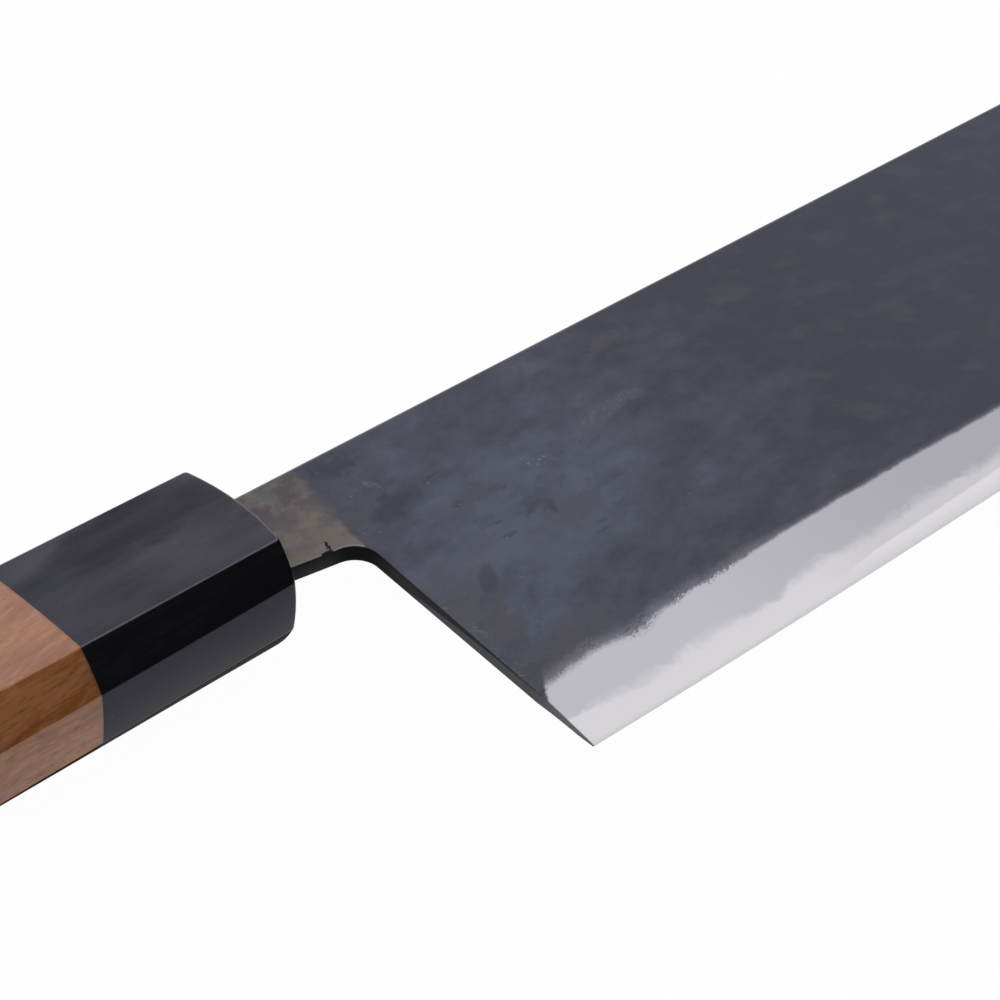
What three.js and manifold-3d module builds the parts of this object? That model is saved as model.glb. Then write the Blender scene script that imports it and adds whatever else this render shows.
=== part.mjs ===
// Nakiri kitchen knife: a laminated vegetable blade in an octagonal wooden handle.
// Sizes are in millimetres. X runs from the butt to the tip, Y from the cutting edge to the spine
// and Z out of the blade's right face, so the knife lies on its left side. While the pieces are
// made, X = 0 is the crown of the ferrule's front and Y = Z = 0 is the handle's axis. At the end
// the whole knife is moved so that its origin is the middle of its footprint.
import * as THREE from 'three';
import { mergeVertices } from 'three/addons/utils/BufferGeometryUtils.js';
import Module from 'manifold-3d';

// Blade: a hard core steel between two soft claddings
const edgeLength = 165; // heel corner to front corner
const bladeHeight = 54.3; // spine to edge at the heel
const spineAboveAxis = 7.05; // spine line over the handle's axis
const spineThicknessAtNeck = 2.6;
const spineThicknessAtTip = 2.0;
const shinogiThickness = 1.7; // where the flat meets the bevel, at the heel
const bevelHeight = 9.3; // edge up to the shinogi line
const coreThickness = 0.54;
const sharpeningHeight = 0.4; // fine bevel at the very edge
const sharpeningThickness = 0.16;
const spineEase = 0.3; // chamfer on the spine's two long corners
const bellyLength = 70; // front stretch of the edge that curves up
const bellyRise = 1.6;
const frontLean = 3.5; // the front end leans back this far from edge to spine
const frontSpineRadius = 13;
const frontEdgeRadius = 3;

// Neck and heel
const heelForward = 7.5; // ferrule to heel corner
const neckLength = 10.9; // ferrule to the inner corner over the heel
const neckHeightAtFerrule = 13.05;
const neckHeightAtHeel = 14.75;
const notchRadius = 3; // fillet in that inner corner

// Tang, inside the handle
const neckSeatDepth = 8; // the neck runs this far into the ferrule at full height
const tangRootHeight = 7;
const tangEndHeight = 4.4;
const tangEndThickness = 1.7;
const tangEndGap = 8; // dowel left solid behind the tang

// Handle
const ferruleLength = 28.9;
const handleBodyLength = 106;
const mouthWall = 2.58; // ferrule over the mouth, at its top
const ferruleWall = 1.95; // ferrule beside the dowel's bore
const buttHeight = 26.8;
const buttThickness = 18.4;
const heightTaperPower = 1.75; // over 1: the handle widens most just behind the ferrule
const thicknessTaperPower = 2; // over 1: it thickens most near the butt
const frontBevelRise = 2.9; // the octagon's bevels, measured along Y
const buttBevelRise = 4.6;
const bevelDepth = 4.4; // the same bevels, measured along Z
const domeRadius = 32; // crowned front of the ferrule
const crownBelowAxis = 1.3;
const buttEase = 1.6; // rounded rim of the butt

// Dowel, bedding and mouth seal
const dowelWall = 0.8; // dowel left beside the corners of its slot
const buttWall = 20; // wood left solid behind the dowel
const slotClearance = 0.8; // around the tang, filled by the bedding
const mouthClearance = 0.8; // around the neck, filled by the seal
const fitGap = 0.15; // glue film and casting clearance
const shoulderGap = 0.3; // tang shoulder to dowel
const sealRecess = 1.2; // behind the crown
const sealDepth = 3;

// How finely curves are divided
const roundSteps = 3;
const domeSteps = 5;
const arcSteps = 6;
const circleSides = 32;
const handleSteps = 7;
const ferruleSteps = 3;
const bladeSteps = 4;
const bellySteps = 8;
const overrun = 2; // how far a cutting shape runs past what it cuts

// Worked out from the sizes above
const spineY = spineAboveAxis;
const edgeFloorY = spineY - bladeHeight;
const tipX = heelForward + edgeLength;
const bellyStartX = tipX - bellyLength;
const handleLength = ferruleLength + handleBodyLength;
const dowelFrontX = -(neckSeatDepth + shoulderGap);
const dowelEndX = -(handleLength - buttWall);
const tangEndX = dowelEndX + tangEndGap;
const slotHalfHeight = tangRootHeight / 2 + slotClearance;
const slotHalfThickness = spineThicknessAtNeck / 2 + slotClearance;
const dowelRadius = Math.hypot(slotHalfHeight, slotHalfThickness) + dowelWall;
const boreRadius = dowelRadius + fitGap;
const frontHeight = 2 * (spineY + mouthClearance + mouthWall);
const frontThickness = 2 * (boreRadius + ferruleWall);

const { lerp } = THREE.MathUtils;
const wasm = await Module();
wasm.setup();

// A closed geometry as a solid that can be cut and joined.
function toSolid(geometry) {
  const bare = geometry.clone();
  bare.deleteAttribute('normal');
  bare.deleteAttribute('uv');
  const merged = mergeVertices(bare);
  return new wasm.Manifold(new wasm.Mesh({
    numProp: 3,
    vertProperties: new Float32Array(merged.attributes.position.array),
    triVerts: new Uint32Array(merged.index.array),
  }));
}

function toGeometry(solid) {
  const mesh = solid.getMesh();
  const geometry = new THREE.BufferGeometry();
  geometry.setAttribute('position', new THREE.BufferAttribute(mesh.vertProperties, 3));
  geometry.setIndex(new THREE.BufferAttribute(mesh.triVerts, 1));
  const flatShaded = geometry.toNonIndexed();
  flatShaded.computeVertexNormals();
  return flatShaded;
}

// A solid through convex sections, each a place x and its [y, z] points, turning from +Y to +Z. The
// sections follow each other along +X, and the first and last close the solid with flat ends.
function loft(sections) {
  const count = sections[0].points.length;
  const positions = sections.flatMap(({ x, points }) => points.flatMap(([y, z]) => [x, y, z]));
  const index = [];
  for (let s = 0; s + 1 < sections.length; s += 1) {
    for (let i = 0; i < count; i += 1) {
      const here = s * count + i;
      const beside = s * count + ((i + 1) % count);
      index.push(here, beside, beside + count, here, beside + count, here + count);
    }
  }
  const last = (sections.length - 1) * count;
  for (let i = 1; i + 1 < count; i += 1) {
    index.push(0, i + 1, i, last, last + i, last + i + 1);
  }
  const geometry = new THREE.BufferGeometry();
  geometry.setAttribute('position', new THREE.Float32BufferAttribute(positions, 3));
  geometry.setIndex(index);
  return toSolid(geometry);
}

function evenly(from, to, steps) {
  return Array.from({ length: steps + 1 }, (_, i) => lerp(from, to, i / steps));
}

function boxBetween(low, high) {
  const size = new THREE.Vector3().subVectors(high, low);
  const middle = new THREE.Vector3().addVectors(low, high).multiplyScalar(0.5);
  const geometry = new THREE.BoxGeometry(size.x, size.y, size.z);
  return toSolid(geometry.translate(middle.x, middle.y, middle.z));
}

// A round bar along X.
function roundBar(radius, fromX, toX) {
  const geometry = new THREE.CylinderGeometry(radius, radius, toX - fromX, circleSides);
  return toSolid(geometry.rotateZ(-Math.PI / 2).translate((fromX + toX) / 2, 0, 0));
}

// Half the thickness at the spine: the blade thins to the tip and the tang to its end.
function spineHalf(x) {
  return x < 0
    ? lerp(spineThicknessAtNeck, tangEndThickness, x / tangEndX) / 2
    : lerp(spineThicknessAtNeck, spineThicknessAtTip, x / tipX) / 2;
}

function edgeY(x) {
  const along = Math.max(0, (x - bellyStartX) / bellyLength);
  return edgeFloorY + bellyRise * along ** 2;
}

// Heights and half thicknesses of one cross-section of the blade. The flat falls evenly from the
// spine to the shinogi, and the core comes out on the bevel at the lamination line.
function bladeLines(x) {
  const flatFall = (spineHalf(heelForward) - shinogiThickness / 2) / (bladeHeight - bevelHeight);
  const shinogi = { y: edgeY(x) + bevelHeight };
  shinogi.z = spineHalf(x) - flatFall * (spineY - shinogi.y);
  const shoulder = { y: edgeY(x) + sharpeningHeight, z: sharpeningThickness / 2 };
  const lamination = { z: coreThickness / 2 };
  const upBevel = (lamination.z - shoulder.z) / (shinogi.z - shoulder.z);
  lamination.y = lerp(shoulder.y, shinogi.y, upBevel);
  return { flatFall, shinogi, shoulder, lamination };
}

function coreSection(x) {
  const { shoulder, lamination } = bladeLines(x);
  return [
    [spineY, -lamination.z],
    [spineY, lamination.z],
    [lamination.y, lamination.z],
    [shoulder.y, shoulder.z],
    [edgeY(x), 0],
    [shoulder.y, -shoulder.z],
    [lamination.y, -lamination.z],
  ];
}

function rightCladdingSection(x) {
  const { flatFall, shinogi, lamination } = bladeLines(x);
  const top = spineHalf(x);
  return [
    [spineY, lamination.z],
    [spineY, top - spineEase],
    [spineY - spineEase, top - flatFall * spineEase],
    [shinogi.y, shinogi.z],
    [lamination.y, lamination.z],
  ];
}

function leftCladdingSection(x) {
  return rightCladdingSection(x).map(([y, z]) => [y, -z]).reverse();
}

// Draws a line to a corner, rounds it with an arc and stops where the arc ends.
function roundCorner(shape, from, corner, to, radius) {
  const before = new THREE.Vector2().subVectors(corner, from).normalize();
  const after = new THREE.Vector2().subVectors(to, corner).normalize();
  const turn = Math.atan2(before.cross(after), before.dot(after));
  const setback = radius * Math.tan(Math.abs(turn) / 2);
  const side = Math.sign(turn);
  const start = corner.clone().addScaledVector(before, -setback);
  const inward = new THREE.Vector2(-before.y, before.x).multiplyScalar(side);
  const centre = start.clone().addScaledVector(inward, radius);
  const startAngle = Math.atan2(-inward.y, -inward.x);
  shape.lineTo(start.x, start.y);
  shape.absarc(centre.x, centre.y, radius, startAngle, startAngle + turn, side < 0);
}

// Side view of the blade, neck and tang. It runs past the spine and the edge, which the
// cross-sections shape, and trims the heel, the neck, the tang and the front end.
function bladeOutline() {
  const tangRoot = tangRootHeight / 2;
  const tangEnd = tangEndHeight / 2;
  const neckLowY = spineY - neckHeightAtFerrule;
  const notch = new THREE.Vector2(neckLength, spineY - neckHeightAtHeel);
  const heel = new THREE.Vector2(heelForward, edgeFloorY);
  const heelSlope = (heel.x - notch.x) / (heel.y - notch.y);
  const frontLow = new THREE.Vector2(tipX, edgeY(tipX));
  const frontHigh = new THREE.Vector2(tipX - frontLean, spineY);
  const beforeFrontX = tipX - 2 * frontEdgeRadius;
  const beforeFront = new THREE.Vector2(beforeFrontX, edgeY(beforeFrontX));
  const afterFront = new THREE.Vector2(frontHigh.x - 2 * frontSpineRadius, spineY);
  const lowY = edgeFloorY - overrun;
  const highY = spineY + overrun;

  const neckSlope = (notch.y - neckLowY) / neckLength;
  const neckAtSeat = new THREE.Vector2(-neckSeatDepth, neckLowY - neckSlope * neckSeatDepth);

  const shape = new THREE.Shape();
  shape.moveTo(tangEndX + tangEnd, -tangEnd);
  shape.lineTo(-neckSeatDepth, -tangRoot);
  shape.lineTo(neckAtSeat.x, neckAtSeat.y);
  roundCorner(shape, neckAtSeat, notch, heel, notchRadius);
  shape.lineTo(heel.x + heelSlope * (lowY - heel.y), lowY);
  shape.lineTo(beforeFrontX, lowY);
  roundCorner(shape, beforeFront, frontLow, frontHigh, frontEdgeRadius);
  roundCorner(shape, frontLow, frontHigh, afterFront, frontSpineRadius);
  shape.lineTo(afterFront.x, highY);
  shape.lineTo(-neckSeatDepth, highY);
  shape.lineTo(-neckSeatDepth, tangRoot);
  shape.lineTo(tangEndX + tangEnd, tangEnd);
  shape.absarc(tangEndX + tangEnd, 0, tangEnd, Math.PI / 2, 1.5 * Math.PI, false);
  return shape;
}

function bladeTrimmer() {
  const geometry = new THREE.ExtrudeGeometry(bladeOutline(), {
    depth: 2 * spineThicknessAtNeck,
    bevelEnabled: false,
    curveSegments: arcSteps,
  });
  return toSolid(geometry.translate(0, 0, -spineThicknessAtNeck));
}

function bladeLayer(pointsAt) {
  const stations = [
    tangEndX - overrun,
    ...evenly(0, bellyStartX, bladeSteps),
    ...evenly(bellyStartX, tipX, bellySteps).slice(1),
    tipX + overrun,
  ];
  return loft(stations.map((x) => ({ x, points: pointsAt(x) }))).intersect(bladeTrimmer());
}

// The handle's octagon at a distance behind the ferrule's front, with every side drawn in by inset.
function octagon(behind, inset) {
  const along = behind / handleLength;
  const swell = 1 - (1 - along) ** heightTaperPower;
  const y = lerp(frontHeight, buttHeight, swell) / 2 - inset;
  const z = lerp(frontThickness, buttThickness, along ** thicknessTaperPower) / 2 - inset;
  const rise = lerp(frontBevelRise, buttBevelRise, swell);
  const shrink = inset * (rise + bevelDepth - Math.hypot(rise, bevelDepth));
  const faceY = y - (rise - shrink / bevelDepth);
  const sideZ = z - (bevelDepth - shrink / rise);
  return [
    [y, -sideZ], [y, sideZ], [faceY, z], [-faceY, z],
    [-y, sideZ], [-y, -sideZ], [-faceY, -z], [faceY, -z],
  ];
}

function handleSection(x, inset) {
  return { x, points: octagon(-x, inset) };
}

// The crowned end that shapes the ferrule's front: a ball's cap on a round bar.
function ferruleDome() {
  const reach = Math.hypot(frontHeight, frontThickness) / 2 + crownBelowAxis + overrun;
  const widest = Math.asin(reach / domeRadius);
  const circle = (x, radius) => ({
    x,
    points: evenly(0, 2 * Math.PI, circleSides).slice(1).map((angle) => [
      radius * Math.cos(angle) - crownBelowAxis,
      radius * Math.sin(angle),
    ]),
  });
  const cap = evenly(widest, 0, domeSteps).slice(0, -1).map((angle) => circle(
    domeRadius * (Math.cos(angle) - 1),
    domeRadius * Math.sin(angle),
  ));
  return loft([circle(-ferruleLength - overrun, reach), ...cap]);
}

function dowelBore() {
  return roundBar(boreRadius, dowelEndX - fitGap, dowelFrontX + shoulderGap);
}

// The space around the neck in the ferrule's mouth, between two places along X.
function mouthSpace(clearance, fromX, toX) {
  const halfZ = spineThicknessAtNeck / 2 + clearance;
  return boxBetween(
    new THREE.Vector3(fromX, spineY - neckHeightAtFerrule - clearance, -halfZ),
    new THREE.Vector3(toX, spineY + clearance, halfZ),
  );
}

// The tang's tapered envelope, grown by a clearance, from a place near its root to behind its end.
function tangEnvelope(clearance, frontX) {
  const sections = [tangEndX - clearance, frontX].map((x) => {
    const along = (x + neckSeatDepth) / (tangEndX + neckSeatDepth);
    const y = lerp(tangRootHeight, tangEndHeight, along) / 2 + clearance;
    const z = spineHalf(x) + clearance;
    return { x, points: [[y, -z], [y, z], [-y, z], [-y, -z]] };
  });
  return loft(sections);
}

function ferruleSolid() {
  const sections = evenly(-ferruleLength, 0, ferruleSteps).map((x) => handleSection(x, 0));
  return loft(sections)
    .intersect(ferruleDome())
    .subtract(dowelBore())
    .subtract(mouthSpace(mouthClearance, dowelFrontX, overrun));
}

// The butt's rim is rounded by drawing the last sections in along a quarter circle.
function handleBodySolid() {
  const rim = evenly(Math.PI / 2, 0, roundSteps).slice(0, -1).map((angle) => handleSection(
    -handleLength + buttEase * (1 - Math.sin(angle)),
    buttEase * (1 - Math.cos(angle)),
  ));
  const stations = evenly(-handleLength + buttEase, -ferruleLength, handleSteps);
  const sides = stations.map((x) => handleSection(x, 0));
  return loft([...rim, ...sides]).subtract(dowelBore());
}

function coreDowelSolid() {
  return roundBar(dowelRadius, dowelEndX, dowelFrontX)
    .subtract(tangEnvelope(slotClearance, dowelFrontX + overrun));
}

function tangBeddingSolid() {
  return tangEnvelope(slotClearance - fitGap, dowelFrontX)
    .subtract(tangEnvelope(fitGap, dowelFrontX + overrun));
}

function mouthSealSolid() {
  const backX = -(sealRecess + sealDepth);
  return mouthSpace(mouthClearance, backX, -sealRecess)
    .subtract(mouthSpace(fitGap, backX - overrun, overrun));
}

function piece(name, solid, color, roughness, metalness) {
  const material = new THREE.MeshStandardMaterial({ color, roughness, metalness });
  const mesh = new THREE.Mesh(toGeometry(solid), material);
  mesh.name = name;
  return mesh;
}

const knife = new THREE.Group();
knife.add(
  piece('core_steel', bladeLayer(coreSection), '#d2d1d4', 0.3, 1),
  piece('right_cladding', bladeLayer(rightCladdingSection), '#474a54', 0.5, 0.7),
  piece('left_cladding', bladeLayer(leftCladdingSection), '#474a54', 0.5, 0.7),
  piece('ferrule', ferruleSolid(), '#1b1a1d', 0.35, 0),
  piece('handle_body', handleBodySolid(), '#7d5138', 0.5, 0),
  piece('core_dowel', coreDowelSolid(), '#d8c59b', 0.8, 0),
  piece('tang_bedding', tangBeddingSolid(), '#b98b4a', 0.4, 0),
  piece('mouth_seal', mouthSealSolid(), '#1a1512', 0.4, 0),
);

const reach = new THREE.Box3().setFromObject(knife);
const footprint = reach.getCenter(new THREE.Vector3()).setZ(reach.min.z);
knife.position.sub(footprint);

export default knife;
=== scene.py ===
import math

import bpy
import numpy as np
from mathutils import Matrix, Vector


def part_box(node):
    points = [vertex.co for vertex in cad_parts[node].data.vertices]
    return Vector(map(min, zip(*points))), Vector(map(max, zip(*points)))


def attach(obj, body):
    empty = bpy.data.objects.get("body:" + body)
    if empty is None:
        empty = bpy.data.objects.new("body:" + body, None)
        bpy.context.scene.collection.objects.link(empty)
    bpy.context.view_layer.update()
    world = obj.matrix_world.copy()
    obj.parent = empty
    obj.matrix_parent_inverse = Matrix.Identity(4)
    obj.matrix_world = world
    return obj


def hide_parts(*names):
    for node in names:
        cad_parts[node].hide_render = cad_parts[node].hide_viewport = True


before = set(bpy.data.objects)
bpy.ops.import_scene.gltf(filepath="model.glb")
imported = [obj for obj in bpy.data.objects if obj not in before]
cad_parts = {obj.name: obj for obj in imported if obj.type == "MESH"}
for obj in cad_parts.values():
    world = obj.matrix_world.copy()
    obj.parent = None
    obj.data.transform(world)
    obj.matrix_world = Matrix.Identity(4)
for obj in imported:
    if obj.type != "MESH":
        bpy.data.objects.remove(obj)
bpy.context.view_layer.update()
print("frame loaded with", len(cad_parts), "nodes")

mm = 0.001

handle = dict(
    ferruleLength=28.9,
    gripLength=106.0,
    frontHeight=20.86,
    frontThickness=15.37,
    buttHeight=26.8,
    buttThickness=18.4,
    heightTaperPower=1.75,
    thicknessTaperPower=2.0,
    frontBevelRise=2.9,  # the octagon's bevels along Y
    buttBevelRise=4.6,
    bevelDepth=4.4,  # and along Z
    creaseEase=0.28,  # how far each long crease is eased
    rimCreaseEase=0.45,  # and at the ferrule's front rim
    rimCreaseLength=4.0,
    rimX=-1.0,  # about where that rim lies
    faceCrown=0.27,  # how far the faces, bevels and sides swell out in their middles
    bevelCrown=0.16,
    sideCrown=0.16,
    spineSideSpread=0.47,  # how much further the faces reach towards the spine at the front
    boreRadius=5.735,
    boreEnd=-115.05,
)

# Pieces are drawn in millimetres from the crown of the ferrule's front, on the handle's axis:
# x to the tip, y to the spine, z out of the right face.
gripLow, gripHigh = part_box("handle_body")
crown = Vector((
    gripHigh.x + handle["ferruleLength"] * mm,
    (gripLow.y + gripHigh.y) / 2,
    (gripLow.z + gripHigh.z) / 2,
))


def lerp(a, b, t):
    return a + (b - a) * t


def colour(hexText):
    # a web colour as linear red, green, blue and alpha
    parts = np.array([int(hexText[i:i + 2], 16) for i in (1, 3, 5)]) / 255
    linear = np.where(parts <= 0.04045, parts / 12.92, ((parts + 0.055) / 1.055) ** 2.4)
    return (*linear.tolist(), 1.0)


def addPiece(name, points, faces, node, material, sharpAngle=38):
    mesh = bpy.data.meshes.new(name)
    mesh.from_pydata((points * mm + np.array(crown)).tolist(), [], faces)
    mesh.materials.append(material)
    mesh.shade_smooth()
    mesh.set_sharp_from_angle(angle=math.radians(sharpAngle))
    piece = bpy.data.objects.new(name, mesh)
    bpy.context.scene.collection.objects.link(piece)
    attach(piece, "root")
    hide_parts(node)
    print("made", name, "with", len(mesh.polygons), "faces")


# Shader sums

class Wire:
    # an output socket that takes part in Python sums; each sum adds a Math node
    def __init__(self, nodes, socket):
        self.nodes = nodes
        self.socket = socket

    def maths(self, operation, first, second):
        return self.nodes.add("ShaderNodeMath", {"operation": operation}, {0: first, 1: second})

    def __add__(self, other):
        return self.maths("ADD", self, other)

    def __radd__(self, other):
        return self.maths("ADD", other, self)

    def __sub__(self, other):
        return self.maths("SUBTRACT", self, other)

    def __rsub__(self, other):
        return self.maths("SUBTRACT", other, self)

    def __mul__(self, other):
        return self.maths("MULTIPLY", self, other)

    def __rmul__(self, other):
        return self.maths("MULTIPLY", other, self)

    def __truediv__(self, other):
        return self.maths("DIVIDE", self, other)

    def __rtruediv__(self, other):
        return self.maths("DIVIDE", other, self)

    def most(self, other):
        return self.maths("MAXIMUM", self, other)

    def least(self, other):
        return self.maths("MINIMUM", self, other)

    def size(self):
        return self.maths("ABSOLUTE", self, 0.0)

    def wave(self, length, start):
        # a sine that rises through zero at the start
        return self.maths("SINE", (self - start) * (2 * math.pi / length), 0.0)

    def smooth(self, low, high):
        # 0 below low, 1 above high, an S between them
        sockets = {"Value": self, "From Min": low, "From Max": high}
        return self.nodes.add("ShaderNodeMapRange", {"interpolation_type": "SMOOTHSTEP"}, sockets)


class Nodes:
    def __init__(self, tree):
        self.tree = tree
        tree.nodes.clear()

    # any node: its type, its settings, then the values or links of its sockets
    def add(self, kind, settings, sockets, output=0):
        node = self.tree.nodes.new(kind)
        for key, value in settings.items():
            setattr(node, key, value)
        for key, value in sockets.items():
            if isinstance(value, Wire):
                self.tree.links.new(value.socket, node.inputs[key])
            else:
                node.inputs[key].default_value = value
        return Wire(self, node.outputs[output]) if node.outputs else None

    def mix(self, factor, first, second):
        return self.add("ShaderNodeMix", {"data_type": "RGBA"}, {0: factor, 6: first, 7: second}, 2)

    def place(self):
        # the point on the piece, in millimetres from the crown of the ferrule
        point = self.add("ShaderNodeTexCoord", {}, {}, "Object")
        moved = self.add("ShaderNodeVectorMath", {"operation": "SUBTRACT"}, {0: point, 1: crown})
        return self.add("ShaderNodeVectorMath", {"operation": "SCALE"}, {0: moved, "Scale": 1 / mm})

    def axes(self, point):
        return [self.add("ShaderNodeSeparateXYZ", {}, {0: point}, i) for i in range(3)]

    def turned(self, point, degrees, cell):
        # turned about z, then divided by the cell's length, height and depth
        spin = (0, 0, math.radians(-degrees))
        turned = self.add("ShaderNodeMapping", {}, {"Vector": point, "Rotation": spin})
        return self.add("ShaderNodeVectorMath", {"operation": "DIVIDE"}, {0: turned, 1: cell})

    def cloud(self, point, cell, detail=3.0, roughness=0.5, degrees=0.0):
        # noise from 0 to 1 whose blots are about as large as the cell, in millimetres
        sockets = {"Vector": self.turned(point, degrees, cell), "Scale": 1.0}
        sockets.update({"Detail": detail, "Roughness": roughness})
        return self.add("ShaderNodeTexNoise", {}, sockets)

    def specks(self, point, cell, reach, share):
        # 1 on small dots: the middles of a share of the cells
        sockets = {"Vector": self.turned(point, 0.0, cell), "Scale": 1.0}
        away = self.add("ShaderNodeTexVoronoi", {}, sockets, "Distance")
        tint = self.add("ShaderNodeTexVoronoi", {}, sockets, "Color")
        chosen = self.axes(tint)[0].smooth(1 - share, 1 - share + 0.02)
        return (1 - away.smooth(reach * 0.4, reach)) * chosen

    def normal(self):
        # the surface normal along x, y and z
        return self.axes(self.add("ShaderNodeNewGeometry", {}, {}, "Normal"))

    def surface(self, shader):
        self.add("ShaderNodeOutputMaterial", {}, {"Surface": shader})


def newFinish(name):
    material = bpy.data.materials.new(name)
    material.use_nodes = True
    return material, Nodes(material.node_tree)


def stroke(x, y, centre, degrees, halfLength, halfWidth):
    # 1 inside a soft-edged ellipse that lies at an angle
    c, s = math.cos(math.radians(degrees)), math.sin(math.radians(degrees))
    lengthwise = ((x - centre[0]) * c + (y - centre[1]) * s) / halfLength
    sideways = ((y - centre[1]) * c - (x - centre[0]) * s) / halfWidth
    return 1 - (lengthwise * lengthwise + sideways * sideways).smooth(0.3, 1.0)


# Blade

blade = dict(
    edgeLength=165.0,
    height=54.3,
    spineY=7.05,
    neckThickness=2.6,
    tipThickness=2.0,
    shinogiThickness=1.7,
    bevelHeight=9.3,
    coreThickness=0.54,
    sharpeningHeight=0.4,
    sharpeningThickness=0.16,
    edgeThickness=0.01,
    bellyLength=70.0,
    bellyRise=1.6,
    edgeBow=0.5,  # how far the edge is bowed down near the heel
    edgeBowAt=28.0,
    edgeBowReach=62.0,
    frontLean=3.5,
    frontSpineRadius=13.0,
    frontEdgeRadius=3.0,
    heelForward=7.5,
    neckLength=10.9,
    neckHeightAtFerrule=13.05,
    neckHeightAtHeel=14.75,
    notchRadius=3.0,
    neckSeat=-8.0,
    tangShoulder=-8.3,
    tangRootHeight=7.0,
    tangEndHeight=4.4,
    tangEndThickness=1.7,
    tangEnd=-106.9,
    cornerEase=0.3,  # round-over of the claddings' outer corners
    cornerShare=0.8,  # it takes this share of a layer's thickness at most
    layerLip=0.0005,  # what is left of a cladding where it runs out on the bevel
    columns=110,  # points along each row of the mesh
    sinkBelow=3.0,  # the mesh starts to follow the edge's bow this far below the notch
    rowsBelow=5.0,  # its lower rows start this far below the notch
    rowsClear=1.2,  # and keep this far from a bend
    bendRows=0.25,  # close rows on both sides of the shinogi
    lipRows=0.005,  # and of the line where the core comes out
    coreRowHeights=(2.1, 1.5, 0.9, 0.45),  # rows above the sharpened edge's shoulder
    keenRowHeights=(0.35, 0.1, 0.0),  # and below it
)

spineY = blade["spineY"]
edgeFloor = spineY - blade["height"]
notchY = spineY - blade["neckHeightAtHeel"]
neckLowY = spineY - blade["neckHeightAtFerrule"]
tipX = blade["heelForward"] + blade["edgeLength"]
bellyStart = tipX - blade["bellyLength"]
coreHalf = blade["coreThickness"] / 2
heelLean = (blade["neckLength"] - blade["heelForward"]) / (notchY - edgeFloor)


def spineHalf(x):
    toTip = lerp(blade["neckThickness"], blade["tipThickness"], x / tipX)
    toTang = lerp(blade["neckThickness"], blade["tangEndThickness"], x / blade["tangEnd"])
    return np.where(x < 0, toTang, toTip) / 2


flatFall = (spineHalf(blade["heelForward"]) - blade["shinogiThickness"] / 2)
flatFall = float(flatFall / (blade["height"] - blade["bevelHeight"]))


def bellyLift(x):
    # the edge rises as a parabola to the tip, and a shallow smooth bow drops it near the heel
    toTip = np.maximum(0, (x - bellyStart) / blade["bellyLength"])
    away = np.minimum(np.abs(x - blade["edgeBowAt"]) / blade["edgeBowReach"], 1)
    return blade["bellyRise"] * toTip ** 2 - blade["edgeBow"] * (1 - away ** 2) ** 2


def flatZ(x, y):
    # the flat falls evenly from the spine to the shinogi
    return spineHalf(x) - flatFall * (spineY - y)


def bevelZ(x, y):
    # the bevel is a straight line from the shinogi down to the sharpened edge's shoulder
    edgeY = edgeFloor + bellyLift(x)
    low, high = blade["sharpeningHeight"], blade["bevelHeight"]
    upBevel = (y - edgeY - low) / (high - low)
    return lerp(blade["sharpeningThickness"] / 2, flatZ(x, edgeY + high), upBevel)


def claddingTop(x, y):
    return np.maximum(np.minimum(flatZ(x, y), bevelZ(x, y)), coreHalf + blade["layerLip"])


def claddingBottom(x, y):
    return np.full_like(x, coreHalf)


def coreTop(x, y):
    rise = (y - edgeFloor - bellyLift(x)) / blade["sharpeningHeight"]
    sharpened = lerp(blade["edgeThickness"], blade["sharpeningThickness"], rise) / 2
    return np.minimum(np.minimum(coreHalf, bevelZ(x, y)), sharpened)


def coreBottom(x, y):
    return -coreTop(x, y)


def laminationHeight(x):
    # how far above the edge the core comes out on the bevel: more where the blade is thinner
    shoulderZ = blade["sharpeningThickness"] / 2
    shinogiZ = flatZ(x, edgeFloor + bellyLift(x) + blade["bevelHeight"])
    rise = (coreHalf - shoulderZ) / (shinogiZ - shoulderZ)
    return lerp(blade["sharpeningHeight"], blade["bevelHeight"], rise)


shinogiY = edgeFloor + blade["bevelHeight"]
shoulderY = edgeFloor + blade["sharpeningHeight"]
laminationY = edgeFloor + float(laminationHeight(blade["heelForward"]))


def heelX(y, inset):
    return blade["heelForward"] + heelLean * (y - edgeFloor) + inset * math.hypot(1, heelLean)


def frontX(y, inset):
    # the front line leans back, and a circle rounds it into the spine and another into the edge
    lowY = edgeFloor + blade["bellyRise"]
    lean = math.atan2(blade["frontLean"], spineY - lowY)
    line = tipX - (inset + (y - lowY) * math.sin(lean)) / math.cos(lean)
    for radius, middleY, side in (
        (blade["frontSpineRadius"], spineY - blade["frontSpineRadius"], 1),
        (blade["frontEdgeRadius"], lowY + blade["frontEdgeRadius"], -1),
    ):
        middleX = tipX - (radius + (middleY - lowY) * math.sin(lean)) / math.cos(lean)
        inside = np.maximum((radius - inset) ** 2 - (y - middleY) ** 2, 0)
        past = side * (y - middleY - radius * math.sin(lean)) > 0
        line = np.where(past, middleX + np.sqrt(inside), line)
    return line


def notchArc(inset, count):
    # the fillet between the neck's lower line and the heel, and where it starts and ends
    neckSlope = (notchY - neckLowY) / blade["neckLength"]
    neck = np.array([1.0, neckSlope]) / math.hypot(1, neckSlope)
    heel = np.array([-heelLean, -1.0]) / math.hypot(1, heelLean)
    radius = blade["notchRadius"] + inset
    turn = math.acos(neck @ heel)
    up = np.array([-neck[1], neck[0]])
    right = np.array([-heel[1], heel[0]])
    corner = np.array([blade["neckLength"], notchY]) + inset * (up + right) / (1 + up @ right)
    middle = corner - neck * radius * math.tan(turn / 2) - up * radius
    angle = np.linspace(0, turn, count)[:, None]
    return middle + radius * (np.cos(angle) * up + np.sin(angle) * neck), neckSlope


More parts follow.
